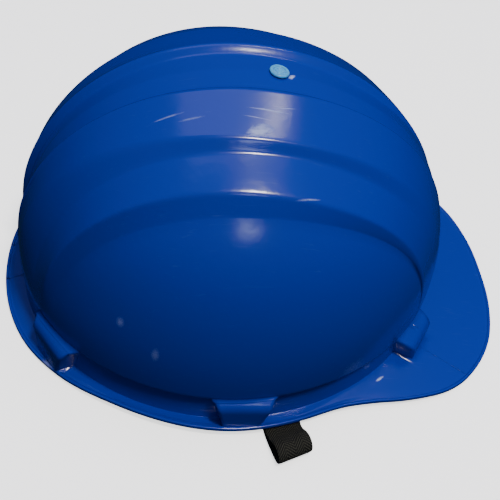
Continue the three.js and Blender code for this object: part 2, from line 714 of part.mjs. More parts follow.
function chinStrap() {
  const curve = new THREE.CatmullRomCurve3(CHIN_ROUTE.map((point) => new THREE.Vector3(...point)));
  // Square to each hook at the ends, and turned further forwards in the loop
  const turnAt = (y) => (12 * smooth(40, 90, -y) + 10 * smooth(104, 122, -y) - 12 * smooth(40, 90, y)) * DEG;
  return strip(2 * (CHIN_ROUTE.length - 1), CHIN_WEB, WEB_THICK, (u) => {
    const middle = curve.getPoint(u);
    const tangent = curve.getTangent(u);
    const turn = turnAt(middle.y);
    const wide = new THREE.Vector3(Math.cos(turn), Math.sin(turn), 0);
    const face = tangent.clone().cross(wide).normalize();
    return { middle, wide, face };
  });
}

function chinSlider() {
  const half = CHIN_WEB / 2;
  const body = block([-half - 3, -8, GAP], [half + 3, 8, 4.2]);
  const slot = block([-half - 0.6, -12, 1.2], [half + 0.6, 12, 3.05]);
  const openings = [-1, 1].map((side) => {
    const middle = side * 3.5;
    return block([-half - 0.6, middle - 2, -1], [half + 0.6, middle + 2, 6]);
  });
  return cut(body, slot, ...openings).translate(SLIDER_X, SLIDER_Y, 0);
}

// ---- Assembly ----

const group = new THREE.Group();

function add(name, geometry, material) {
  const mesh = new THREE.Mesh(geometry, material.clone());
  mesh.name = name;
  group.add(mesh);
  return mesh;
}

function addAt(name, geometry, material, place) {
  const mesh = add(name, geometry, material);
  mesh.position.set(place.x, place.y, 0);
  mesh.rotation.z = place.turn * DEG;
}

add("shell", shell(), shellBlue);
add("crown_plug", crownPlug(), plugBlue);
for (const pocket of POCKETS) addAt(`hanger_tab_${pocket.name}`, hangerTab(pocket), cradleWhite, pocket);
const [frontLeft, frontRight, sideLeft, sideRight, rearLeft, rearRight] = POCKETS;
add("crown_strap_side", crownStrap(sideLeft, sideRight, CROWN_STRAP_Z[0]), webbingGrey);
add("crown_strap_diagonal_left", crownStrap(frontLeft, rearRight, CROWN_STRAP_Z[1]), webbingGrey);
add("crown_strap_diagonal_right", crownStrap(frontRight, rearLeft, CROWN_STRAP_Z[2]), webbingGrey);
add("crown_pad", crownPad(), foamBlack);
add("headband", headband(), bandBlack);
add("sweatband", sweatband(), foamBlack);
add("nape_arm_right", napeArm(RIGHT_ARM_R, -1), bandBlack);
add("nape_arm_left", napeArm(LEFT_ARM_R, 1), bandBlack);
add("ratchet_housing", ratchetHousing(), bandBlack);
add("nape_plate", napePlate(), bandBlack);
add("nape_pad", napePad(), foamBlack);
add("ratchet_pinion", ratchetPinion(), cradleWhite);
add("ratchet_detent_ring", detentRing(), steel);
add("ratchet_knob", ratchetKnob(), bandBlack);
add("knob_screw", knobScrew(), steel);
for (const hook of HOOKS) addAt(`chin_hook_${hook.name}`, chinHook(), bandBlack, hook);
add("chin_strap", chinStrap(), chinBlack);
add("chin_slider", chinSlider(), bandBlack);

export default group;
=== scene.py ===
import math

import bmesh
import bpy
from mathutils import Matrix, Quaternion, Vector


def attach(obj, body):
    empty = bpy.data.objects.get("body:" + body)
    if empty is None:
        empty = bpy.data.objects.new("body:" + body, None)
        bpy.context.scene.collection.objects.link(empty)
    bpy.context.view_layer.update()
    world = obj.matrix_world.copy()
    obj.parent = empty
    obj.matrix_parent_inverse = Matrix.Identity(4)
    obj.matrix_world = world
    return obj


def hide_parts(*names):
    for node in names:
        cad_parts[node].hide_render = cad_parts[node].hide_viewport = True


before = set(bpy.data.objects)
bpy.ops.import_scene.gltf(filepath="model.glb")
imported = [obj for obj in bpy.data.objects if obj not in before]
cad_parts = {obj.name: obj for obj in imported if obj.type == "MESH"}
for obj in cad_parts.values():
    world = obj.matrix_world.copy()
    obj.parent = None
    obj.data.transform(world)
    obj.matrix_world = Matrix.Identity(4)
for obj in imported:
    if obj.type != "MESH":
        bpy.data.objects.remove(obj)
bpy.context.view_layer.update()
MM = 0.001

# ---- Camera ----
# It looks down on the wearer's right side from a little behind the middle, turned slightly.

CAMERA_DISTANCE = 0.4488
azimuth, elevation, roll = (math.radians(angle) for angle in (-11.72, 46.22, 9.99))
aim = Vector((9.4, -40.0, 60.0)) * MM
back = Vector((
    math.sin(azimuth) * math.cos(elevation),
    -math.cos(azimuth) * math.cos(elevation),
    math.sin(elevation),
))
right = Quaternion(back, roll) @ Vector((math.cos(azimuth), math.sin(azimuth), 0))
camera = bpy.data.objects.new("camera", bpy.data.cameras.new("camera"))
camera.data.lens = 62.3
facing = Matrix((right, back.cross(right), back)).transposed().to_4x4()
camera.matrix_world = Matrix.Translation(aim + back * CAMERA_DISTANCE) @ facing
bpy.context.collection.objects.link(camera)
bpy.context.scene.camera = camera

# ---- Studio ----
# A pale floor under a hard key lamp, a narrow strip, a large box overhead and a small box to the
# side. The floor and the seen background are kept out of the light that reaches the hat.


def linear(code):
    parts = [int(code[i:i + 2], 16) / 255 for i in (1, 3, 5)]
    return (*(p / 12.92 if p <= 0.04045 else ((p + 0.055) / 1.055) ** 2.4 for p in parts), 1)


def add_node(material, kind, inputs=None, **settings):
    made = material.node_tree.nodes.new(kind)
    for name, value in settings.items():
        setattr(made, name, value)
    for name, value in (inputs or {}).items():
        if isinstance(value, bpy.types.NodeSocket):
            material.node_tree.links.new(value, made.inputs[name])
        else:
            made.inputs[name].default_value = value
    return made


def new_material(name, look):
    made = bpy.data.materials.new(name)
    made.use_nodes = True
    shader = made.node_tree.nodes["Principled BSDF"]
    for socket, value in look.items():
        shader.inputs[socket].default_value = value
    return made, shader


def new_piece(name, bm, material, smooth=True):
    mesh = bpy.data.meshes.new(name)
    bm.to_mesh(mesh)
    bm.free()
    mesh.materials.append(material)
    for face in mesh.polygons:
        face.use_smooth = smooth
    made = bpy.data.objects.new(name, mesh)
    bpy.context.collection.objects.link(made)
    return made


paper, _ = new_material("matt_paper_backdrop", {
    "Base Color": linear("#f4f4f2"), "Roughness": 0.9, "Emission Color": linear("#f4f4f2"),
    "Emission Strength": 1.6,
})
bm = bmesh.new()
bmesh.ops.create_grid(bm, x_segments=1, y_segments=1, size=4)
floor = new_piece("floor", bm, paper)
floor.visible_diffuse = False
floor.visible_glossy = False

# Pale overhead, dim towards the horizon and below, and pale wherever the camera sees it
world = bpy.data.worlds.new("studio")
world.use_nodes = True
sky = add_node(world, "ShaderNodeTexCoord").outputs["Generated"]
rise = add_node(world, "ShaderNodeSeparateXYZ", {"Vector": sky}).outputs["Z"]
dome_light = add_node(world, "ShaderNodeValToRGB", {"Fac": rise})
dome_light.color_ramp.elements[0].color = linear("#1c2c38")
dome_light.color_ramp.elements[1].color = linear("#8f9cc4")
seen = add_node(world, "ShaderNodeLightPath").outputs["Is Camera Ray"]
tint = add_node(world, "ShaderNodeMix", {
    "Factor": seen, "A": dome_light.outputs["Color"], "B": (2.6, 2.6, 2.64, 1),
}, data_type="RGBA")
background = world.node_tree.nodes["Background"]
world.node_tree.links.new(tint.outputs["Result"], background.inputs["Color"])
background.inputs["Strength"].default_value = 0.8
bpy.context.scene.world = world

LAMPS = [
    ("key_lamp", (0.4, -0.62, 2.2), (0.35, 0.35), 46, "#fff8f0"),
    ("strip_lamp", (0.52, 0.5, 2.1), (0.06, 0.9), 5, "#fffaf4"),
    ("top_box", (0.0, 0.42, 1.45), (1.25, 0.8), 4, "#cfd4ff"),
    ("side_box", (0.23, -1.46, 1.385), (0.3, 0.3), 2.2, "#dfe6ff"),
]
for name, place, size, power, colour in LAMPS:
    lamp = bpy.data.lights.new(name, "AREA")
    lamp.shape = "RECTANGLE"
    lamp.size, lamp.size_y = size
    lamp.energy = power
    lamp.color = linear(colour)[:3]
    holder = bpy.data.objects.new(name, lamp)
    holder.location = place
    holder.rotation_euler = (Vector(place) - Vector((0, 0, 0.06))).to_track_quat("Z", "Y").to_euler()
    bpy.context.collection.objects.link(holder)

# ---- Shell ----
# One injection moulding in blue high-density polyethylene, 2.2 mm thick: a ribbed dome over a
# set-back wall, with six hollow pockets for the cradle, a brim all round and a beaded rim.

WALL = 2.2
DOME_FRONT = 122
DOME_REAR = 113
DOME_SIDE = 108
CROWN = 146
COLUMNS = 136
PANEL_ROWS = 22

# Height of the ribs over the plain dome, by distance from the middle
RIB_LIFTS = [
    (0, -2.2), (13.8, -2.1), (17.8, 1.5), (44, 1.5), (48.8, -1.3), (65.6, 1.9), (73.5, -1.3),
    (108, 0),
]
FACE_ARC = 100  # the dome's curve across a rib, taken out so that each face is flat
# How the ribs bend in towards the front and rear: distance, widest point, rear and front bend
RIB_BENDS = [
    (0, 5, 0.0004, 0.0006), (18, 5, 0.0004, 0.0006), (31, 18, 0.00113, 0.00107),
    (43.6, 18, 0.00113, 0.00107), (48.6, 20, 0.00025, 0.00055), (56, 20, 0.00025, 0.00055),
    (65.4, 20, 0.00059, 0.00108), (73.5, 0, 0.00109, 0.00146),
]
LAST_RIB = 73.5
RIB_ROUNDING = 0.9

# Rows of the mesh, close together at each rib's edges
ribs = [distance for distance, _ in RIB_LIFTS[:-1]]
row_places = {0.0, LAST_RIB}
for start, end in zip(ribs, ribs[1:]):
    row_places.update(start + shift for shift in (0.45, 1.0, 1.7))
    row_places.update(end - shift for shift in (1.7, 1.0, 0.45))
    row_places.add(end)
    parts = max(1, round((end - start - 3.4) / 1.9))
    row_places.update(start + 1.7 + (end - start - 3.4) * part / parts for part in range(1, parts))
row_places = sorted(row_places)
RIB_ROWS = len(row_places) - 1
HALF_ROWS = RIB_ROWS + PANEL_ROWS

# Place on the dome's edge, turn, and how far the face stands outside that edge
POCKETS = [
    (102, 59.4, 33.54, 8), (102, -59.4, -33.54, 8), (6, 107.9, 90, 4.5), (6, -107.9, -90, 4.5),
    (-88.7, 67, 146.46, 6), (-88.7, -67, 213.54, 6),
]
POCKET_WALL = 2.4
POCKET_TOP = 19
POCKET_FOOT = 11.5

BRIM = [
    (0, 164.5), (10, 165), (20, 163.8), (30, 157.5), (36, 150.5), (44, 136.5), (51, 125),
    (59, 117.2), (69, 114.6), (90, 114.2), (120, 113.8), (138, 118), (155, 121.5), (180, 122),
]


def smooth(low, high, value):
    part = min(1, max(0, (value - low) / (high - low)))
    return part * part * (3 - 2 * part)


def between(table, at):
    for before, after in zip(table, table[1:]):
        if at <= after[0]:
            break
    part = min(1, max(0, (at - before[0]) / (after[0] - before[0])))
    return [a + (b - a) * part for a, b in zip(before[1:], after[1:])]


def brim_radius(angle):
    for k in range(len(BRIM) - 1):
        if angle <= BRIM[k + 1][0]:
            break
    (a, low), (b, high) = BRIM[k], BRIM[k + 1]
    before = (high - BRIM[k - 1][1]) / (b - BRIM[k - 1][0]) if k else 0
    after = (BRIM[k + 2][1] - low) / (BRIM[k + 2][0] - a) if k + 2 < len(BRIM) else 0
    t = (angle - a) / (b - a)
    return (
        low * (1 + 2 * t) * (1 - t) ** 2 + high * t * t * (3 - 2 * t)
        + (b - a) * (before * t * (1 - t) ** 2 - after * t * t * (1 - t))
    )


def sharp_lift(distance):
    start, end = next(pair for pair in zip(RIB_LIFTS, RIB_LIFTS[1:]) if distance <= pair[1][0])
    flat = (distance - start[0]) * (end[0] - distance) / (2 * FACE_ARC) if end[0] <= LAST_RIB else 0
    return between(RIB_LIFTS, distance)[0] - flat


def rib_lift(distance):
    shifts = (-1, -0.5, 0, 0.5, 1)
    return sum(sharp_lift(min(108, abs(distance + s * RIB_ROUNDING))) for s in shifts) / len(shifts)


def rib_way(distance, across):
    widest, rear, front = between(RIB_BENDS, distance)
    scale = min(1, distance / 20)
    half = distance / DOME_SIDE
    for _ in range(4):
        reach = math.sqrt(1 - half * half) * math.sin(across * math.pi / 2)
        x = reach * (DOME_FRONT if reach > 0 else DOME_REAR)
        half = (distance - scale * (rear if x < widest else front) * (x - widest) ** 2) / DOME_SIDE
    return Vector((reach, half, math.sqrt(max(0, 1 - reach * reach - half * half))))


def panel_way(part, across):
    corner = rib_way(LAST_RIB, 1 if across >= 0 else -1)
    turn = math.atan2(corner.x, corner.y) * 0.95 * abs(across)
    foot = Vector((math.sin(turn), math.cos(turn), 0))
    return rib_way(LAST_RIB, across).lerp(foot, part).normalized()


def dome_point(way, inset, edge_lift):
    edge = 24.5 + 6.5 * max(0, way.x) ** 1.5 + edge_lift
    length = DOME_FRONT if way.x > 0 else DOME_REAR
    return Vector((
        (length - inset) * way.x,
        (DOME_SIDE - inset) * way.y,
        edge + (CROWN - inset - edge) * max(0, way.z) ** (1 / 1.1),
    ))


# Where an angle lies from the nearest pocket's middle, in millimetres along the dome's edge
def pocket_at(angle):
    for pocket in POCKETS:
        x, y = pocket[:2]
        middle = math.atan2(y / DOME_SIDE, x / (DOME_FRONT if x > 0 else DOME_REAR))
        length = DOME_FRONT if x > 0 else DOME_REAR
        speed = math.hypot(length * math.sin(middle), DOME_SIDE * math.cos(middle))
        off = (angle - middle + math.pi) % (2 * math.pi) - math.pi
        if abs(off) * speed < 34:
            return pocket, middle, speed, abs(off) * speed, math.copysign(1, off)
    return None


# Columns are drawn together at the pockets' sides
def gather(angle, amount):
    found = pocket_at(angle)
    if not found:
        return angle
    _, middle, speed, away, side = found
    near = (away - POCKET_TOP) / 9
    if abs(near) < 1:
        away += amount * 9 * (near * (0.35 + 0.65 * near * near) - near)
    return middle + side * away / speed


# Below the dome they lean in with the pocket's sides, as narrow goes from 0 to 1
def lean_in(angle, narrow):
    found = pocket_at(angle)
    if not found:
        return angle, None, 0
    pocket, middle, speed, away, side = found
    taper = narrow * (1 - POCKET_FOOT / POCKET_TOP)
    away *= 1 - taper * (1 - smooth(POCKET_TOP + 1, 34, away))
    return middle + side * away / speed, pocket, away


# Moves a point of the wall out to a pocket's face, which rounds back in under the dome
def push(point, pocket, away, narrow, wall, low, high):
    out = Vector((math.cos(math.radians(pocket[2])), math.sin(math.radians(pocket[2])), 0))
    own = (point - Vector((pocket[0], pocket[1], 0))).dot(out)
    rise = min(1, max(0, (point.z - low) / (high - low)))
    face = pocket[3] - wall
    target = max(own, face + (own - face) * (1 - math.sqrt(1 - rise * rise)))
    half = POCKET_TOP + (POCKET_FOOT - POCKET_TOP) * narrow - wall
    return point + out * (target - own) * (1 - smooth(half - 2, half + 0.3, away))


def shell_grid(x, y, inset, edge_lift):
    row = abs(y) * HALF_ROWS
    if row <= RIB_ROWS + 0.5:
        distance = row_places[round(row)]
        way = rib_way(distance, x)
    else:
        part = 1 - (1 - (row - RIB_ROWS) / PANEL_ROWS) ** 1.5
        distance = LAST_RIB + (DOME_SIDE - LAST_RIB) * part
        way = panel_way(part, x)
    way.y = math.copysign(way.y, y)
    angle = math.atan2(way.y, way.x)
    turned = gather(angle, 1 - smooth(0, 0.3, way.z))
    level = math.hypot(way.x, way.y)
    way = Vector((math.cos(turned) * level, math.sin(turned) * level, way.z))
    along = way.x * (DOME_FRONT if way.x > 0 else DOME_REAR)
    lift = rib_lift(distance) * (1 - 0.75 * smooth(55, 110, along)) * smooth(0, 0.3, way.z)
    point = dome_point(way, inset - lift, edge_lift)
    return point, turned


# Sections of the skirt from the dome's edge out, round the rim and back in
def skirt_sections(edge):
    radius = math.hypot(edge.x, edge.y)
    angle = abs(math.degrees(math.atan2(edge.y, edge.x)))
    front = max(0, math.cos(math.radians(angle)))
    rim = brim_radius(angle)
    bottom = 3.8 * smooth(14, 62, angle) * smooth(24, 75, 180 - angle)
    top = bottom + 2.4
    root = 5.2 + 6.8 * front ** 1.5
    middle = (radius + rim) / 2
    slope = (root + top) / 2
    outer = [(radius - 2.5 + k / 4, edge.z - 2.4 + (root + 2.6 - edge.z) * k / 4) for k in range(5)]
    inner = [(radius - 3.7 - k / 4, root + 1 + (edge.z - root - 3) * k / 4) for k in range(5)]
    return radius, [
        (radius, edge.z), (radius - 0.2, edge.z - 0.7), (radius - 2.5, edge.z - 1.4), *outer,
        (radius - 1.4, root), (radius - 0.9, root), (middle, slope), (rim - 2.6, top),
        (rim - 1.9, top), (rim - 1.5, top + 0.6), (rim - 0.3, top + 0.6), (rim, top + 0.1),
        (rim, bottom), (rim - 3.4, bottom), (middle, slope - WALL), (radius - 3.1, root - WALL),
        (radius - 3.6, root - WALL + 0.5), *inner, (radius - 4.7, edge.z + 0.3),
        (radius - 4.2, edge.z + 1.4), (radius - WALL, edge.z + 2),
    ]


SECTIONS = 29
RINGS_EACH = 3
RIM_FOOT = 17


def skirt_point(angle, ring):
    at = ring / RINGS_EACH
    outside = at < RIM_FOOT
    narrow = smooth(0, 8, at) if outside else smooth(0, 6, SECTIONS - 1 - at)
    turned, pocket, away = lean_in(angle, narrow)
    lip = dome_point(Vector((math.cos(turned), math.sin(turned), 0)), 0, 0)
    radius, sections = skirt_sections(lip)
    k = min(SECTIONS - 2, max(1, math.floor(at + 0.5)))
    mids = [[(a + b) / 2 for a, b in zip(sections[i], sections[i + 1])] for i in (k - 1, k)]
    t = at - k + 0.5
    if t < 0:
        out, z = (a + (b - a) * at * 2 for a, b in zip(sections[0], mids[0]))
    elif t > 1:
        out, z = (a + (b - a) * (at - SECTIONS + 1.5) * 2 for a, b in zip(mids[1], sections[-1]))
    else:
        corners = zip(mids[0], sections[k], mids[1])
        out, z = (a * (1 - t) ** 2 + 2 * b * t * (1 - t) + c * t * t for a, b, c in corners)
    point = Vector((lip.x / radius * out, lip.y / radius * out, z))
    if pocket and 1 < at < 11:
        point = push(point, pocket, away, narrow, 0, 18, 24.3)
    if pocket and at > 19:
        point = push(point, pocket, away, narrow, POCKET_WALL, 18, 22.4)
    return point


bm = bmesh.new()
bmesh.ops.create_grid(bm, x_segments=COLUMNS, y_segments=2 * HALF_ROWS, size=1)
inside = bmesh.ops.duplicate(bm, geom=bm.verts[:] + bm.edges[:] + bm.faces[:])["geom"]
RINGS = (SECTIONS - 1) * RINGS_EACH
inside_verts = [item for item in inside if isinstance(item, bmesh.types.BMVert)]
bmesh.ops.translate(bm, verts=inside_verts, vec=(0, 0, -RINGS))
hem = [edge for edge in bm.edges if edge.is_boundary and edge.verts[0].co.z == 0]
for ring in range(RINGS):
    made = bmesh.ops.extrude_edge_only(bm, edges=hem)["geom"]
    fresh = [item for item in made if isinstance(item, bmesh.types.BMVert)]
    hem = [item for item in made if isinstance(item, bmesh.types.BMEdge)]
    bmesh.ops.translate(bm, verts=fresh, vec=(0, 0, -1))
bmesh.ops.remove_doubles(bm, verts=bm.verts[:], dist=1e-4)
edge_angles = {}
for vert in bm.verts:
    x, y, ring = vert.co.x, vert.co.y, round(-vert.co.z)
    if ring in (0, RINGS):
        point, angle = shell_grid(x, y, 0 if ring == 0 else WALL, 0 if ring == 0 else 2)
    else:
        key = (round(x, 4), round(y, 4))
        if key not in edge_angles:
            edge_angles[key] = shell_grid(x, y, 0, 0)[1]
        point = skirt_point(edge_angles[key], ring)
    vert.co = point * MM
bmesh.ops.recalc_face_normals(bm, faces=bm.faces[:])

# Moulded polyethylene: a waxy gloss over a faint orange peel, worn dull and pale where it rubs
moulded_blue, shader = new_material("moulded_polyethylene_blue", {
    "Base Color": linear("#032b96"), "Roughness": 0.2, "IOR": 1.52,
})
place = add_node(moulded_blue, "ShaderNodeTexCoord").outputs["Object"]
peel = add_node(moulded_blue, "ShaderNodeTexNoise", {"Vector": place, "Scale": 260, "Detail": 2})
ripple = add_node(moulded_blue, "ShaderNodeBump", {
    "Height": peel.outputs["Fac"], "Strength": 0.06, "Distance": 0.001,
})
moulded_blue.node_tree.links.new(ripple.outputs["Normal"], shader.inputs["Normal"])

# Scuffs, each a patch of broken pale lines: centre, half size, turn about Z, strength, breaks
MARKS = [
    ((4.5, -40.3, 139.5), (11, 6, 6), 20, 0.75, 2.2), ((9, -29, 142.3), (17, 0.7, 5), -4, 1.0, 6),
    ((4, -33.5, 142), (13, 0.45, 5), -8, 0.8, 8), ((16, -27, 142), (12, 0.5, 5), 6, 0.7, 7),
    ((23, -1.5, 141.8), (4.5, 2.2, 4), 50, 1.0, 3), ((82.9, -84.2, 9), (5, 1.6, 5), 35, 1.0, 2.5),
    ((-93.7, -73.2, 1.7), (9, 9, 6), 0, 0.5, 9), ((-56.1, -88.8, 60.3), (4, 4, 6), 0, 0.22, 11),
    ((-39.3, -99.3, 48.9), (4, 4, 8), 0, 0.2, 12), ((-38.2, -29.9, 136.3), (22, 1.0, 6), 8, 0.35, 5),
    ((27.2, -65.9, 121.5), (14, 0.9, 2), 10, 0.4, 6), ((-27, -32.9, 138.7), (12, 1.2, 6), 5, 0.25, 9),
    ((60, -88, 30), (15, 15, 14), 0, 0.15, 12), ((96, -30, 12), (26, 20, 14), 0, 0.25, 14),
]
worn = None
for centre, half, turn, strength, breaks in MARKS:
    local = add_node(moulded_blue, "ShaderNodeMapping", {
        "Vector": place, "Location": Vector(centre) * MM, "Rotation": (0, 0, math.radians(turn)),
        "Scale": Vector(half) * MM,
    }, vector_type="TEXTURE")
    near = add_node(moulded_blue, "ShaderNodeTexGradient", {
        "Vector": local.outputs["Vector"],
    }, gradient_type="SPHERICAL")
    fleck = add_node(moulded_blue, "ShaderNodeTexNoise", {
        "Vector": local.outputs["Vector"], "Scale": breaks, "Detail": 4, "Roughness": 0.7,
    })
    both = add_node(moulded_blue, "ShaderNodeMath", {
        0: near.outputs["Fac"], 1: fleck.outputs["Fac"],
    }, operation="MULTIPLY")
    part = add_node(moulded_blue, "ShaderNodeMapRange", {
        "Value": both.outputs[0], "From Min": 0.2, "From Max": 0.42, "To Max": strength,
    }).outputs["Result"]
    worn = part if worn is None else add_node(moulded_blue, "ShaderNodeMath", {
        0: worn, 1: part,
    }, operation="MAXIMUM").outputs[0]
hairs = add_node(moulded_blue, "ShaderNodeTexNoise", {
    "Vector": add_node(moulded_blue, "ShaderNodeMapping", {
        "Vector": place, "Rotation": (0.3, 0.2, 0.5), "Scale": (30, 900, 500),
    }).outputs["Vector"], "Scale": 1, "Detail": 3,
})
handled = add_node(moulded_blue, "ShaderNodeMapRange", {
    "Value": hairs.outputs["Fac"], "From Min": 0.64, "From Max": 0.9, "To Max": 0.05,
})
dull = add_node(moulded_blue, "ShaderNodeMath", {
    0: handled.outputs["Result"], 1: worn,
}, operation="MAXIMUM")
pale = add_node(moulded_blue, "ShaderNodeMix", {
    "Factor": dull.outputs[0], "A": linear("#032b96"), "B": linear("#aebbe0"),
}, data_type="RGBA")
sheen = add_node(moulded_blue, "ShaderNodeMapRange", {
    "Value": dull.outputs[0], "To Min": 0.19, "To Max": 0.6,
})
moulded_blue.node_tree.links.new(pale.outputs["Result"], shader.inputs["Base Color"])
moulded_blue.node_tree.links.new(sheen.outputs["Result"], shader.inputs["Roughness"])
shell = new_piece("shell_moulding", bm, moulded_blue)
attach(shell, "hat")
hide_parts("shell")


# ---- Crown plug ----
# A lighter blue polypropylene cap that closes the moulding gate, turned with two raised rings and
# pushed into its hole square to the crown.

PLUG_OUTLINE = [
    (0, -4.4), (2.9, -4.4), (3.5, -3.6), (3.5, 0.4), (5, 0.45), (5, 1.1), (4.5, 1.6), (3.3, 1.6),
    (3.0, 0.9), (2.2, 0.9), (2.0, 1.4), (0.9, 1.4), (0.7, 1.0), (0, 1.0),
]
bm = bmesh.new()
ring = [bm.verts.new((x * MM, 0, z * MM)) for x, z in PLUG_OUTLINE]
edges = [bm.edges.new(pair) for pair in zip(ring, ring[1:])]
bmesh.ops.spin(
    bm, geom=ring + edges, axis=(0, 0, 1), cent=(0, 0, 0), angle=math.tau, steps=40, use_merge=True,
)
bmesh.ops.remove_doubles(bm, verts=bm.verts[:], dist=1e-6)
bmesh.ops.recalc_face_normals(bm, faces=bm.faces[:])
seat_x = 17 / DOME_FRONT
seat = dome_point(Vector((seat_x, 0, math.sqrt(1 - seat_x * seat_x))), 2.2, 0)
bmesh.ops.rotate(bm, verts=bm.verts[:], matrix=Matrix.Rotation(math.radians(7), 3, "Y"))
bmesh.ops.translate(bm, verts=bm.verts[:], vec=seat * MM)
# Moulded polypropylene: clearer and shinier than the shell, with a little light in its edges
plug_blue, shader = new_material("moulded_polypropylene_pale_blue", {
    "Base Color": linear("#3fa6e0"), "Roughness": 0.2, "IOR": 1.49, "Subsurface Weight": 0.15,
    "Subsurface Scale": 0.001,
})
plug = new_piece("crown_plug_cap", bm, plug_blue)
rounding = plug.modifiers.new("rounded edges", "BEVEL")
rounding.width = 0.15 * MM
rounding.segments = 2
place = add_node(plug_blue, "ShaderNodeTexCoord").outputs["Object"]
grime = add_node(plug_blue, "ShaderNodeTexNoise", {"Vector": place, "Scale": 900, "Detail": 3})
tone = add_node(plug_blue, "ShaderNodeValToRGB", {"Fac": grime.outputs["Fac"]})
tone.color_ramp.elements[0].color = linear("#2383c4")
tone.color_ramp.elements[1].color = linear("#6cc4ee")
plug_blue.node_tree.links.new(tone.outputs["Color"], shader.inputs["Base Color"])
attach(plug, "hat")
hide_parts("crown_plug")

# ---- Chin strap ----
# Black polyester webbing, 20 mm wide and 1.2 mm thick before easing, woven in a herringbone.
# Its ends are folded round the two hooks' bars; it lies under the hat with a loop out past the brim.

WEB_THICK = 1.1
CHIN_ROUTE = [
    (26.8, -93.5, 2.9), (26.7, -93.1, 4.6), (26.7, -93.2, 6.6), (27, -94.4, 8.1), (27.3, -95.9, 8.1),
    (27.5, -97.1, 6.7), (27.6, -98, 4.8), (27.7, -100.6, 3), (27.8, -105, 2.5), (28, -110.5, 2.6),
    (28.7, -115, 4.2), (29.8, -119, 7.1), (30.9, -123, 8.8), (31.9, -126.6, 7.9),
    (32.3, -128.4, 5.2), (32, -127.4, 2.2), (31, -124, 1.05), (29.4, -118.6, 0.95),
    (27.8, -112.5, 0.95), (26.6, -105, 0.95), (25.3, -95, 0.95), (24.3, -80, 1.1), (24, -62, 1.7),
    (24, -42, 2.1), (24, -10, 2.1), (24, 25, 2.1), (24, 50, 2.1), (24, 68, 1.5), (25, 83, 1.3),
    (26.2, 91, 1.9), (27.1, 95.5, 3.2), (27.5, 97.3, 5.6), (27.3, 96.8, 7.6), (27, 95.2, 8.4),
    (26.8, 93.6, 7.4), (26.7, 93, 5.6), (26.7, 92.9, 4.4),
]


# Points and directions at even steps along a smooth curve through the route
def evenly(route, step):
    points = [Vector(point) for point in route]
    points = [2 * points[0] - points[1], *points, 2 * points[-1] - points[-2]]
    fine = []
    for a, b, c, d in zip(points, points[1:], points[2:], points[3:]):
        before, here, after = ((q - p).length ** 0.5 for p, q in ((a, b), (b, c), (c, d)))
        start = ((b - a) / before - (c - a) / (before + here) + (c - b) / here) * here
        end = ((c - b) / here - (d - b) / (here + after) + (d - c) / after) * here
        for k in range(12):
            t = k / 12
            fine.append(
                b * (1 + 2 * t) * (1 - t) ** 2 + c * t * t * (3 - 2 * t)
                + start * t * (1 - t) ** 2 - end * t * t * (1 - t)
            )
    fine.append(points[-2])
    lengths = [0]
    for p, q in zip(fine, fine[1:]):
        lengths.append(lengths[-1] + (q - p).length)
    steps = round(lengths[-1] / step)
    found = []
    k = 0
    for i in range(steps + 1):
        at = lengths[-1] * i / steps
        while k < len(fine) - 2 and lengths[k + 1] < at:
            k += 1
        part = (at - lengths[k]) / (lengths[k + 1] - lengths[k])
        found.append((fine[k].lerp(fine[k + 1], part), fine[k + 1] - fine[k]))
    return found


# A strip of webbing along a route. wide_at gives its width direction at each place.
def webbing(name, route, width, thick, step, wide_at, material):
    places = evenly(route, step)
    bm = bmesh.new()
    bm.loops.layers.uv.new("weave")
    bmesh.ops.create_grid(bm, x_segments=len(places) - 1, y_segments=6, size=1, calc_uvs=True)
    for vert in bm.verts:
        middle, direction = places[round((vert.co.x + 1) / 2 * (len(places) - 1))]
        vert.co = (middle + wide_at(middle, direction) * vert.co.y * width / 2) * MM
    made = new_piece(name, bm, material)
    body = made.modifiers.new("thickness", "SOLIDIFY")
    body.thickness = thick * MM
    body.offset = 0
    edge = made.modifiers.new("soft edges", "SUBSURF")
    edge.levels = edge.render_levels = 1
    return made


RIB_PITCH = 1.7
THREAD_PITCH = 1.1


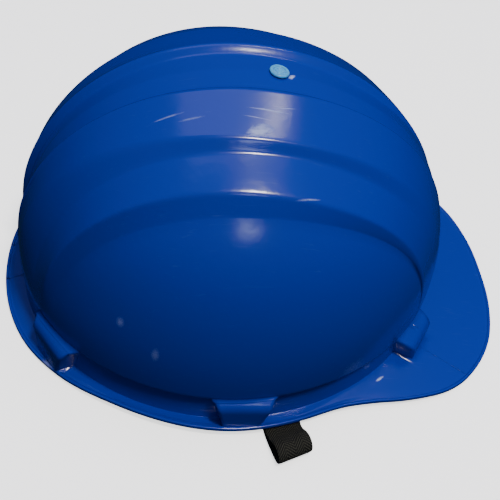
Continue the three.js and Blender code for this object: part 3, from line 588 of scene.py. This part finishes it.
# Woven polyester: matt thread ribs in a herringbone, with finer threads across them, coloured with
# painted shade in the weave's low places. Length and width are those of the strip in mm, roughly.
def woven(name, dark, light, length, width):
    made, shader = new_material(name, {"Roughness": 0.8, "Specular IOR Level": 0.25})
    uv = add_node(made, "ShaderNodeUVMap", uv_map="weave").outputs["UV"]
    sized = add_node(made, "ShaderNodeMapping", {"Vector": uv, "Scale": (length, width, 1)})
    axes = add_node(made, "ShaderNodeSeparateXYZ", {"Vector": sized.outputs["Vector"]}).outputs
    zigzag = add_node(made, "ShaderNodeMath", {0: axes["Y"], 1: width / 4}, operation="PINGPONG")
    slant = add_node(made, "ShaderNodeMath", {0: zigzag.outputs[0], 1: axes["X"]}, operation="ADD")
    turns = add_node(made, "ShaderNodeMath", {
        0: slant.outputs[0], 1: math.tau / RIB_PITCH,
    }, operation="MULTIPLY")
    rib = add_node(made, "ShaderNodeMath", {0: turns.outputs[0]}, operation="SINE")
    across = add_node(made, "ShaderNodeMath", {
        0: axes["Y"], 1: math.tau / THREAD_PITCH,
    }, operation="MULTIPLY")
    thread = add_node(made, "ShaderNodeMath", {0: across.outputs[0]}, operation="SINE")
    both = add_node(made, "ShaderNodeMath", {
        0: thread.outputs[0], 1: 0.5, 2: rib.outputs[0],
    }, operation="MULTIPLY_ADD")
    fuzz = add_node(made, "ShaderNodeTexNoise", {
        "Vector": sized.outputs["Vector"], "Scale": 1.4, "Detail": 3,
    })
    relief_and_painted_shade = add_node(made, "ShaderNodeMath", {
        0: fuzz.outputs["Fac"], 1: 1.6, 2: both.outputs[0],
    }, operation="MULTIPLY_ADD")
    weave_relief_and_painted_shade = add_node(made, "ShaderNodeMapRange", {
        "Value": relief_and_painted_shade.outputs[0], "From Min": 0.2, "From Max": 2.3,
    })
    # The colour follows the weave's height: painted shade in its low places and a painted highlight on the
    # raised threads, mixed with random fuzz
    tone = add_node(made, "ShaderNodeMix", {
        "Factor": weave_relief_and_painted_shade.outputs["Result"], "A": linear(dark), "B": linear(light),
    }, data_type="RGBA")
    bump = add_node(made, "ShaderNodeBump", {
        "Height": weave_relief_and_painted_shade.outputs["Result"], "Strength": 1, "Distance": 0.0005,
    })
    made.node_tree.links.new(tone.outputs["Result"], shader.inputs["Base Color"])
    made.node_tree.links.new(bump.outputs["Normal"], shader.inputs["Normal"])
    return made


# Square to each hook at the ends, and turned further forwards in the loop
def chin_width(middle, direction):
    y = middle.y
    turn = 12 * smooth(40, 90, -y) + 10 * smooth(104, 122, -y) - 12 * smooth(40, 90, y)
    return Vector((math.cos(math.radians(turn)), math.sin(math.radians(turn)), 0))


black_weave = woven("black_polyester_webbing", "#010101", "#3f3f35", 300, 20)
chin = webbing("chin_webbing", CHIN_ROUTE, 19.7, WEB_THICK, 1.0, chin_width, black_weave)
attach(chin, "hat")
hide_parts("chin_strap")

# ---- Crown straps ----
# Three grey-black webbing arches, 18 mm wide, each sewn back on itself round a bar of two tabs.

BAR_IN = 14.5
BAR_Z = 39.5
BAR_WRAP = 2.4
ARCH_POWER = 2 / 2.6  # 1 is an elliptical arch, less is a flatter top
grey_weave = woven("charcoal_polyester_webbing", "#121213", "#4b4c4e", 330, 18)
STRAPS = [
    ("side", POCKETS[2], POCKETS[3], 104), ("diagonal_left", POCKETS[0], POCKETS[5], 106),
    ("diagonal_right", POCKETS[1], POCKETS[4], 108),
]
for name, first, last, top in STRAPS:
    bars = []
    for pocket in (first, last):
        turn = math.radians(pocket[2])
        inward = Vector((math.cos(turn), math.sin(turn), 0)) * BAR_IN
        bars.append(Vector((pocket[0], pocket[1], 0)) - inward)
    centre = (bars[0] + bars[1]) / 2
    along = (bars[1] - centre).normalized()
    half = (bars[1] - bars[0]).length / 2
    arch = [(half + 0.4, 54), (half + 1.2, 48), (half + BAR_WRAP - 0.2, 42.5)]
    for degrees in range(0, 181, 36):
        turn = math.radians(degrees)
        arch.append((half + math.cos(turn) * BAR_WRAP, BAR_Z - math.sin(turn) * BAR_WRAP))
    arch += [(half - BAR_WRAP + 0.5, 43), (half - 1.3, 48), (half - 2, 54)]
    for degrees in range(20, 90, 14):
        turn = math.radians(degrees)
        out = (half - 2.2) * math.cos(turn) ** ARCH_POWER
        arch.append((out, BAR_Z + (top - BAR_Z) * math.sin(turn) ** ARCH_POWER))
    arch.append((0, top))
    arch += [(-x, z) for x, z in reversed(arch[:-1])]
    route = [centre + along * x + Vector((0, 0, z)) for x, z in arch]
    wide = Vector((-along.y, along.x, 0))
    strap = webbing(
        f"cradle_webbing_{name}", route, 17.7, WEB_THICK, 1.2, lambda *_: wide, grey_weave,
    )
    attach(strap, "hat")
    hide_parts(f"crown_strap_{name}")

# ---- Fittings inside the shell ----
# Moulded with the shell in the same polyethylene: a bar behind each pocket that holds its tab, and
# the two small bridges that the chin strap's hooks slide up into.

HOOKS = [("right", 29.2, -104.9, -78), ("left", 29.2, 104.9, 78)]
FITTINGS = [("tab_keeper", pocket, [((-7, -14.5, 12.6), (-4.3, 14.5, 20.4))]) for pocket in POCKETS]
FITTINGS += [("hook_bridge", hook[1:], [
    ((-9.8, -8.7, 13.2), (-3.8, -6.4, 18.8)), ((-9.8, 6.4, 13.2), (-3.8, 8.7, 18.8)),
    ((-9.8, -6.4, 13.2), (-7.8, 6.4, 18.8)),
]) for hook in HOOKS]
for number, (name, place, blocks) in enumerate(FITTINGS, 1):
    bm = bmesh.new()
    for low, high in blocks:
        made = bmesh.ops.create_cube(bm, size=1)["verts"]
        size = [b - a for a, b in zip(low, high)]
        bmesh.ops.scale(bm, verts=made, vec=size)
        bmesh.ops.translate(bm, verts=made, vec=[(a + b) / 2 for a, b in zip(low, high)])
    bmesh.ops.bevel(
        bm, geom=bm.edges[:], offset=0.4, affect="EDGES", segments=2, profile=0.5, material=-1,
    )
    turn = Matrix.Rotation(math.radians(place[2]), 3, "Z")
    bmesh.ops.rotate(bm, verts=bm.verts[:], matrix=turn)
    bmesh.ops.translate(bm, verts=bm.verts[:], vec=(place[0], place[1], 0))
    bmesh.ops.scale(bm, verts=bm.verts[:], vec=(MM, MM, MM))
    fitting = new_piece(f"{name}_{number}", bm, moulded_blue)
    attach(fitting, "hat")

# ---- Cradle tabs ----
# White nylon tabs, one up each pocket, with a bar for the webbing and a prong into the headband.


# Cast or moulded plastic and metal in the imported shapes, with their edges rounded
def rounded(name, node, body, slot, width, material):
    bm = bmesh.new()
    bm.from_mesh(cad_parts[node].data)
    bmesh.ops.remove_doubles(bm, verts=bm.verts[:], dist=2e-6)
    bmesh.ops.dissolve_limit(bm, angle_limit=math.radians(0.5), verts=bm.verts[:], edges=bm.edges[:])
    made = new_piece(name, bm, material)
    if "custom_normal" in made.data.attributes:
        made.data.attributes.remove(made.data.attributes["custom_normal"])
    ease = made.modifiers.new("rounded edges", "BEVEL")
    ease.width = width * MM
    ease.segments = 2
    ease.limit_method = "ANGLE"
    ease.angle_limit = math.radians(32)
    ease.harden_normals = True
    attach(made, body)
    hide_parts(node)
    return made


# A fine spark-eroded mould texture with the faint mottling of pigment in the melt
def moulded(name, dark, light, look, grain, depth):
    made, shader = new_material(name, look)
    place = add_node(made, "ShaderNodeTexCoord").outputs["Object"]
    cloud = add_node(made, "ShaderNodeTexNoise", {"Vector": place, "Scale": 70, "Detail": 4})
    tone = add_node(made, "ShaderNodeMix", {
        "Factor": cloud.outputs["Fac"], "A": linear(dark), "B": linear(light),
    }, data_type="RGBA")
    spark = add_node(made, "ShaderNodeTexNoise", {"Vector": place, "Scale": grain, "Detail": 2})
    bump = add_node(made, "ShaderNodeBump", {
        "Height": spark.outputs["Fac"], "Strength": depth, "Distance": 0.0003,
    })
    gloss = add_node(made, "ShaderNodeMapRange", {
        "Value": cloud.outputs["Fac"], "To Min": look["Roughness"] - 0.1, "To Max": look["Roughness"] + 0.12,
    })
    made.node_tree.links.new(tone.outputs["Result"], shader.inputs["Base Color"])
    made.node_tree.links.new(bump.outputs["Normal"], shader.inputs["Normal"])
    made.node_tree.links.new(gloss.outputs["Result"], shader.inputs["Roughness"])
    return made


white_nylon = moulded("moulded_white_nylon", "#c9cbc4", "#e2e3dd", {
    "Roughness": 0.42, "IOR": 1.53, "Subsurface Weight": 0.08, "Subsurface Scale": 0.002,
}, 1500, 0.15)
for corner in ("front_left", "front_right", "side_left", "side_right", "rear_left", "rear_right"):
    rounded(f"cradle_tab_{corner}", f"hanger_tab_{corner}", "hat", "cradle_white", 0.4, white_nylon)

# ---- Headband and ratchet ----
# Black polypropylene with a fine texture: the headband with a loop at each end, two racked arms, a
# housing, its plate and the knob; a white nylon pinion; a zinc-plated spring ring and screw.

black_poly = moulded("moulded_black_polypropylene", "#131415", "#232426", {
    "Roughness": 0.5, "IOR": 1.49,
}, 1300, 0.3)
zinc = moulded("zinc_plated_steel", "#9b9da1", "#c3c6ca", {"Roughness": 0.32, "Metallic": 1.0}, 900, 0.1)
RATCHET = [
    ("headband_strip", "headband", "hat", "band_black", 0.3, black_poly),
    ("racked_arm_right", "nape_arm_right", "arm_right", "band_black", 0.15, black_poly),
    ("racked_arm_left", "nape_arm_left", "arm_left", "band_black", 0.15, black_poly),
    ("rack_housing", "ratchet_housing", "hat", "band_black", 0.5, black_poly),
    ("nape_backing_plate", "nape_plate", "hat", "band_black", 0.4, black_poly),
    ("pinion_gear", "ratchet_pinion", "knob", "cradle_white", 0.12, white_nylon),
    ("detent_spring_ring", "ratchet_detent_ring", "hat", "steel", 0.15, zinc),
    ("fluted_knob", "ratchet_knob", "knob", "band_black", 0.4, black_poly),
    ("knob_fixing_screw", "knob_screw", "knob", "steel", 0.15, zinc),
]
for made in RATCHET:
    rounded(*made)

# ---- Chin strap hooks and slider ----
# Black acetal, a little glossier than the headband: flat hooks with a bar for the webbing, and the
# sliding adjuster the strap runs through.

black_acetal = moulded("moulded_black_acetal", "#0d0e0f", "#1b1c1e", {
    "Roughness": 0.34, "IOR": 1.48,
}, 1100, 0.15)
for side in ("right", "left"):
    rounded(f"webbing_hook_{side}", f"chin_hook_{side}", "hat", "band_black", 0.3, black_acetal)
rounded("webbing_slider", "chin_slider", "slider", "band_black", 0.35, black_acetal)

# ---- Pads ----
# Thin foam in brushed knit, sewn shut round the edge and along channels. A short cloth simulation
# rounds the crown cushion, and hardly moves the two thin ones, whose form is that given here.


PRESSURE = 4
LAST_STEP = 20


# A pad over a surface, which gives a point and its normal for u and v from 0 to 1. Every step in
# sewn is a stitched line, and the cloth moves at most limit mm while it is blown up between them.
def stuffed(name, surface, columns, rows, thick, sewn, limit, material):
    bm = bmesh.new()
    seam = bm.verts.layers.int.new("seam")
    for side in (1, -1):
        grid = bmesh.ops.create_grid(bm, x_segments=columns, y_segments=rows, size=1)["verts"]
        for vert in grid:
            u, v = (vert.co.x + 1) / 2, (vert.co.y + 1) / 2
            inward = min(u * columns, (1 - u) * columns, v * rows, (1 - v) * rows)
            vert[seam] = inward < 0.5 or round(u * columns) in sewn
            loft = min(1, max(inward, 0) / 2) ** 0.5 * (0.5 if vert[seam] else 1)
            point, normal = surface(u, v)
            vert.co = (point + normal * side * loft * thick / 2) * MM
    bmesh.ops.remove_doubles(bm, verts=bm.verts[:], dist=1e-6)
    bmesh.ops.recalc_face_normals(bm, faces=bm.faces[:])
    made = new_piece(name, bm, material)
    held = made.vertex_groups.new(name="held")
    stitched = made.data.attributes["seam"].data
    held.add([n for n, mark in enumerate(stitched) if mark.value], 1.0, "REPLACE")
    cloth = made.modifiers.new("cloth", "CLOTH")
    cloth.settings.use_pressure = True
    cloth.settings.uniform_pressure_force = PRESSURE
    cloth.settings.effector_weights.gravity = 0
    cloth.settings.vertex_group_mass = "held"
    cloth.collision_settings.use_collision = False
    for step in range(1, LAST_STEP + 1):
        bpy.context.scene.frame_set(step)
    body = made.evaluated_get(bpy.context.evaluated_depsgraph_get())
    swollen = [vert.co.copy() for vert in body.data.vertices]
    made.modifiers.remove(cloth)
    made.vertex_groups.clear()
    bpy.context.scene.frame_set(1)
    for vert, now in zip(made.data.vertices, swollen):
        shift = now - vert.co
        vert.co += shift * min(1, limit * MM / max(shift.length, 1e-9))
    soft = made.modifiers.new("soft", "SUBSURF")
    soft.levels = soft.render_levels = 1
    return made


def knit(name, dark, light):
    made, shader = new_material(name, {"Roughness": 0.95, "Sheen Weight": 0.5, "Sheen Roughness": 0.5})
    place = add_node(made, "ShaderNodeTexCoord").outputs["Object"]
    loops = add_node(made, "ShaderNodeTexVoronoi", {"Vector": place, "Scale": 1100})
    nap = add_node(made, "ShaderNodeTexNoise", {"Vector": place, "Scale": 300, "Detail": 5})
    relief_and_painted_shade = add_node(made, "ShaderNodeMath", {
        0: loops.outputs["Distance"], 1: 0.6, 2: nap.outputs["Fac"],
    }, operation="MULTIPLY_ADD")
    # The colour follows the knit's height: painted shade darkens its low places, mixed with the random nap
    tone = add_node(made, "ShaderNodeMix", {
        "Factor": relief_and_painted_shade.outputs[0], "A": linear(dark), "B": linear(light),
    }, data_type="RGBA")
    bump = add_node(made, "ShaderNodeBump", {
        "Height": relief_and_painted_shade.outputs[0], "Strength": 0.8, "Distance": 0.0006,
    })
    made.node_tree.links.new(tone.outputs["Result"], shader.inputs["Base Color"])
    made.node_tree.links.new(bump.outputs["Normal"], shader.inputs["Normal"])
    return made


black_knit = knit("brushed_black_knit_over_foam", "#0b0b0c", "#2c2c2f")
BAND_SIDE = [(0, 74), (28, 76), (58, 67), (82, 47), (97, 22)]
nape = [math.radians(angle) for angle in (42, 52, 62, 72, 82)]
half_band = [(-18 - 66 * math.cos(angle), -66 * math.sin(angle), 0) for angle in nape]
half_band += [(x, -half, 0) for x, half in BAND_SIDE]
band_route = [*half_band, (102, 0, 0), *((x, -y, 0) for x, y, _ in reversed(half_band))]
band_places = evenly(band_route, 1)


def brow_surface(u, v):
    point, along = band_places[round((0.24 + 0.52 * u) * (len(band_places) - 1))]
    inward = Vector((-along.y, along.x, 0)).normalized()
    return point + inward * 2.7 + Vector((0, 0, 12 + 29 * v)), inward


def crown_surface(u, v):
    x, y = 2 * u - 1, 2 * v - 1
    flat = Vector((x * math.sqrt(1 - y * y / 2), y * math.sqrt(1 - x * x / 2), 0)) * 27.6
    return flat + Vector((7, 0, 100.3)), Vector((0, 0, 1))


def nape_surface(u, v):
    angle = math.radians(-21 + 42 * u)
    outward = Vector((-math.cos(angle), math.sin(angle), 0))
    return outward * 62.8 + Vector((-18, 0, 5.3 + 25.4 * v)), outward


PADS = [
    ("brow_sweatband", "sweatband", brow_surface, (110, 12), 1.9, range(10, 110, 10), 0.6),
    ("crown_cushion", "crown_pad", crown_surface, (26, 26), 4.2, (), 0.8),
    ("nape_cushion", "nape_pad", nape_surface, (24, 12), 1.9, (8, 16), 0.6),
]
for name, node, surface, steps, thick, sewn, limit in PADS:
    pad = stuffed(name, surface, *steps, thick, sewn, limit, black_knit)
    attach(pad, "hat")
    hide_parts(node)
